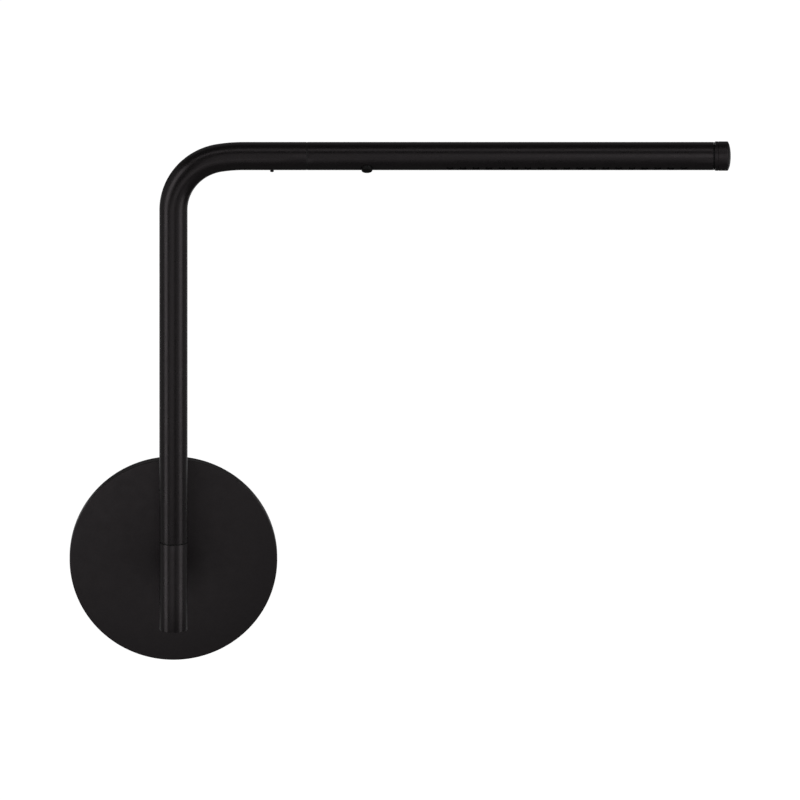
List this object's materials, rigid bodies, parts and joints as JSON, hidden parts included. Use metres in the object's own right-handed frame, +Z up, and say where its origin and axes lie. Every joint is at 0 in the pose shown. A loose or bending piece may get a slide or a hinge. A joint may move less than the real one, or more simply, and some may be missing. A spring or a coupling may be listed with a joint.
{
  "type": "picture light",
  "caption": "Wall picture light: a round wall plate, a post with a vertical swivel, a right-angled tube arm and a slim tube head with a row of small lamps.",
  "frame": {"origin": "centre of the wall plate's back face, on the wall and in line with the centre of the wall box", "axes": "+Y into the wall, +Z up, +X along the arm's upper run and the head at rest"},
  "size_m": [0.382, 0.0725, 0.3252],
  "materials": {
    "black_powder_coat": "satin",
    "blackened_screw": "satin",
    "black_button": "matte",
    "zinc_steel": "satin",
    "ground_green": "satin",
    "brass": "satin",
    "turned_steel": "satin",
    "spring_steel": "satin",
    "nylon": "matte",
    "black_acetal": "satin",
    "cable_sheath": "matte",
    "red_lead": "satin",
    "aluminium": "satin",
    "white_board": "satin",
    "green_board": "satin",
    "led_phosphor": "satin",
    "clear_lens": "gloss",
    "component_black": "matte",
    "capacitor_sleeve": "satin",
    "copper_winding": "satin",
    "ring_rubber": "matte"
  },
  "bodies": {
    "wall_base": {"wall_plate": "black_powder_coat", "mounting_bracket": "zinc_steel", "ground_screw": "ground_green", "plate_screw_left": "zinc_steel", "plate_screw_right": "zinc_steel", "threaded_nipple": "brass", "lock_washer": "zinc_steel", "hex_nut": "brass", "standoff_post": "black_powder_coat", "swivel_sleeve": "black_powder_coat", "swivel_stop_screw": "zinc_steel", "lower_bush": "nylon", "upper_bush": "nylon", "thrust_washer": "black_acetal", "sleeve_end_plug": "black_powder_coat", "wave_washer": "spring_steel", "supply_cable_base": "cable_sheath"},
    "arm": {"arm_tube": "black_powder_coat", "arm_pivot": "turned_steel", "retaining_ring": "spring_steel", "roll_stop_screw": "blackened_screw", "roll_bush": "nylon", "roll_washer": "black_acetal", "supply_cable_arm": "cable_sheath"},
    "head": {"head_tube": "black_powder_coat", "head_spigot": "turned_steel", "spigot_screw": "zinc_steel", "heat_sink": "aluminium", "led_board": "white_board", "led_01": "led_phosphor", "led_02": "led_phosphor", "led_03": "led_phosphor", "led_04": "led_phosphor", "led_05": "led_phosphor", "led_06": "led_phosphor", "led_07": "led_phosphor", "led_08": "led_phosphor", "led_09": "led_phosphor", "led_10": "led_phosphor", "led_11": "led_phosphor", "led_12": "led_phosphor", "led_13": "led_phosphor", "led_14": "led_phosphor", "led_15": "led_phosphor", "led_16": "led_phosphor", "led_17": "led_phosphor", "led_18": "led_phosphor", "led_19": "led_phosphor", "lens_strip": "clear_lens", "driver_board": "green_board", "driver_chip": "component_black", "capacitor": "capacitor_sleeve", "choke": "copper_winding", "switch_body": "component_black", "end_cap": "black_powder_coat", "cap_ring": "ring_rubber", "supply_cable_head": "cable_sheath", "led_lead": "red_lead"},
    "button": {"switch_button": "black_button"}
  },
  "joints": [
    {"name": "arm_swivel", "type": "hinge", "parent": "wall_base", "child": "arm", "pos_m": [0, -0.064, 0.0261], "axis": [0, 0, 1], "range_deg": [-180, 0]},
    {"name": "head_roll", "type": "hinge", "parent": "arm", "child": "head", "pos_m": [0.07715, -0.064, 0.2567], "axis": [1, 0, 0], "range_deg": [-50, 130]},
    {"name": "button_press", "type": "slide", "parent": "head", "child": "button", "axis": [0, 0.6561, 0.7547], "range_m": [0, 0.001], "stiffness_N_per_m": 1500, "springref_m": -0.0003}
  ]
}
